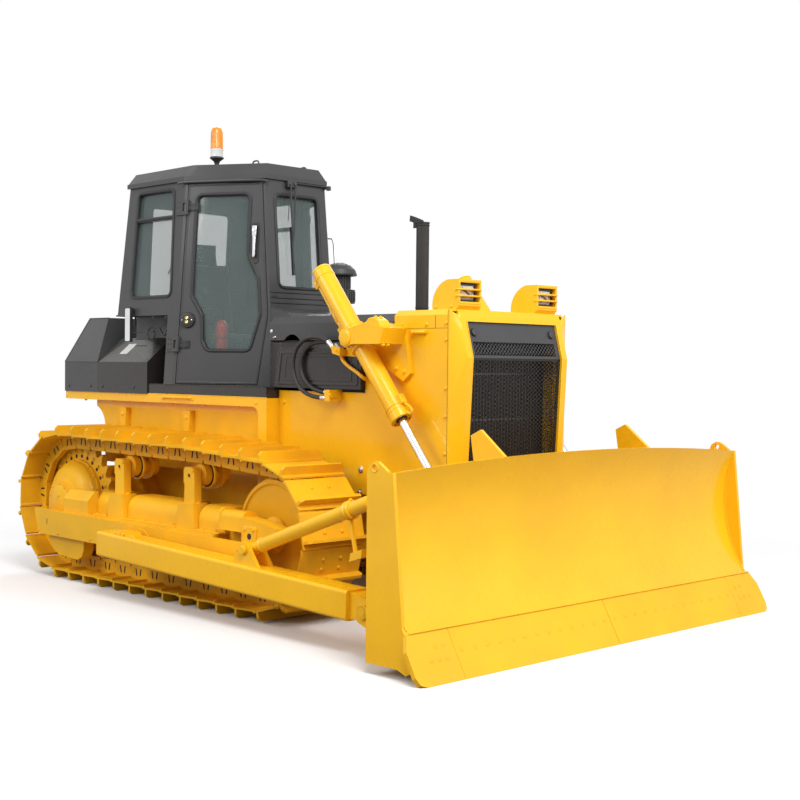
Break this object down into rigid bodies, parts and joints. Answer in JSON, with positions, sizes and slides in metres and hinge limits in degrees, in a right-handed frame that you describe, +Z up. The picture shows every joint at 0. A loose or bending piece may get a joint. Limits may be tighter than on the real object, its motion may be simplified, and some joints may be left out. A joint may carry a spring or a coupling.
{
  "type": "crawler bulldozer",
  "caption": "Crawler bulldozer: steel tracks, straight tilting blade on push arms with lift cylinders, glazed cab with opening doors, rear fuel tank and a beacon.",
  "frame": {"origin": "on the ground at the middle of the machine's box", "axes": "+X points forward to the blade, +Y to the machine's left, +Z up"},
  "size_m": [5.12, 3.388, 3.52],
  "materials": {
    "yellow_paint": "satin",
    "cab_paint": "satin",
    "black_plate": "matt",
    "track_paint": "dusty",
    "chrome_rod": "polished",
    "engine_iron": "rough",
    "cab_trim": "matt",
    "glass": "tinted",
    "lamp_lens": "clear",
    "seat_cloth": "woven",
    "amber": "clear",
    "hose_rubber": "matt"
  },
  "bodies": {
    "chassis": {"beacon": "amber", "cab_fittings": "cab_trim", "cab_front": "cab_paint", "cab_glass": "glass", "cab_rear": "cab_paint", "cab_roof": "cab_paint", "cab_sides": "cab_paint", "carrier_rollers": "yellow_paint", "console": "cab_trim", "cowl": "cab_paint", "drawbar": "yellow_paint", "engine_block": "engine_iron", "engine_covers": "black_plate", "exhaust_stack": "black_plate", "fenders": "yellow_paint", "final_drives": "yellow_paint", "front_lamps": "lamp_lens", "fuel_tank": "cab_paint", "grille": "black_plate", "hood": "cab_paint", "hood_front": "yellow_paint", "hose_left_inner": "hose_rubber", "hose_left_outer": "hose_rubber", "hose_right_inner": "hose_rubber", "hose_right_outer": "hose_rubber", "hull": "yellow_paint", "idlers": "yellow_paint", "lamp_housings": "yellow_paint", "lift_brackets": "yellow_paint", "platform": "black_plate", "precleaner": "cab_trim", "radiator": "engine_iron", "radiator_guard": "yellow_paint", "rear_lamps": "cab_trim", "seat": "seat_cloth", "side_boxes": "black_plate", "side_panels": "yellow_paint", "sprockets": "yellow_paint", "track_frame_left": "yellow_paint", "track_frame_right": "yellow_paint", "track_left": "track_paint", "track_right": "track_paint", "track_rollers": "track_paint"},
    "trunnions": {"trunnion_balls": "yellow_paint"},
    "blade": {"blade": "yellow_paint", "cutting_edge": "yellow_paint", "push_arm_right": "yellow_paint", "brace_right": "yellow_paint"},
    "left_arm": {"push_arm_left": "yellow_paint"},
    "tilt_barrel": {"tilt_barrel": "yellow_paint"},
    "tilt_rod": {"tilt_rod": "chrome_rod"},
    "lift_barrel_right": {"lift_barrel_right": "yellow_paint"},
    "lift_barrel_left": {"lift_barrel_left": "yellow_paint"},
    "lift_rod_right": {"lift_rod_right": "chrome_rod"},
    "lift_rod_left": {"lift_rod_left": "chrome_rod"},
    "door_right": {"door_right": "cab_paint", "door_glass_right": "glass"},
    "door_left": {"door_left": "cab_paint", "door_glass_left": "glass"},
    "exhaust_cap": {"exhaust_cap": "black_plate"}
  },
  "joints": [
    {"name": "blade_lift", "type": "hinge", "parent": "chassis", "child": "trunnions", "pos_m": [-0.6, 0, 0.372], "axis": [0, -1, 0], "range_deg": [-9.5, 19.8]},
    {"name": "blade_tilt", "type": "hinge", "parent": "trunnions", "child": "blade", "pos_m": [-0.6, -1.36, 0.372], "axis": [0.8883, 0.4593, 0], "range_deg": [-7.65, 7.65]},
    {"name": "left_arm_pivot", "type": "hinge", "parent": "trunnions", "child": "left_arm", "pos_m": [-0.6, 1.36, 0.372], "axis": [0, -1, 0], "range_deg": [-4, 4]},
    {"name": "tilt_barrel_pivot", "type": "hinge", "parent": "left_arm", "child": "tilt_barrel", "pos_m": [0.775, 1.36, 0.5], "axis": [0.2832, 0.5234, -0.8036], "range_deg": [-3.6, 3.6]},
    {"name": "tilt_rod_slide", "type": "slide", "parent": "tilt_barrel", "child": "tilt_rod", "axis": [0.9433, 0, 0.3318], "range_m": [-0.067, 0.067]},
    {"name": "lift_barrel_pivot_right", "type": "hinge", "parent": "chassis", "child": "lift_barrel_right", "pos_m": [0.98, -0.68, 1.81], "axis": [0, -1, 0], "range_deg": [-10.2, 21]},
    {"name": "lift_rod_slide_right", "type": "slide", "parent": "lift_barrel_right", "child": "lift_rod_right", "axis": [0.6254, 0, -0.7803], "range_m": [-0.745, 0.358]},
    {"name": "lift_barrel_pivot_left", "type": "hinge", "parent": "chassis", "child": "lift_barrel_left", "pos_m": [0.98, 0.68, 1.81], "axis": [0, -1, 0], "range_deg": [-10.2, 21]},
    {"name": "lift_rod_slide_left", "type": "slide", "parent": "lift_barrel_left", "child": "lift_rod_left", "axis": [0.6254, 0, -0.7803], "range_m": [-0.745, 0.358]},
    {"name": "door_right_hinge", "type": "hinge", "parent": "chassis", "child": "door_right", "pos_m": [-1.00964, -0.68228, 1.49076], "axis": [-0.0094, -0.0672, -0.9977], "range_deg": [0, 100]},
    {"name": "door_left_hinge", "type": "hinge", "parent": "chassis", "child": "door_left", "pos_m": [-1.00964, 0.68228, 1.49076], "axis": [0.0094, -0.0672, 0.9977], "range_deg": [0, 100]},
    {"name": "exhaust_cap_hinge", "type": "hinge", "parent": "chassis", "child": "exhaust_cap", "pos_m": [0.822, 0, 2.602], "axis": [0, -1, 0], "range_deg": [0, 80]}
  ],
  "couplings": [
    {"joint": "left_arm_pivot", "follows": "blade_tilt", "ratio": 0.507},
    {"joint": "tilt_barrel_pivot", "follows": "blade_tilt", "ratio": 0.446},
    {"joint": "tilt_rod_slide", "follows": "blade_tilt", "m_per_rad": 0.477},
    {"joint": "lift_barrel_pivot_right", "follows": "blade_lift", "ratio": 1.05},
    {"joint": "lift_rod_slide_right", "follows": "blade_lift", "m_per_rad": -2.1486},
    {"joint": "lift_barrel_pivot_left", "follows": "blade_lift", "ratio": 1.05},
    {"joint": "lift_rod_slide_left", "follows": "blade_lift", "m_per_rad": -2.1486}
  ]
}
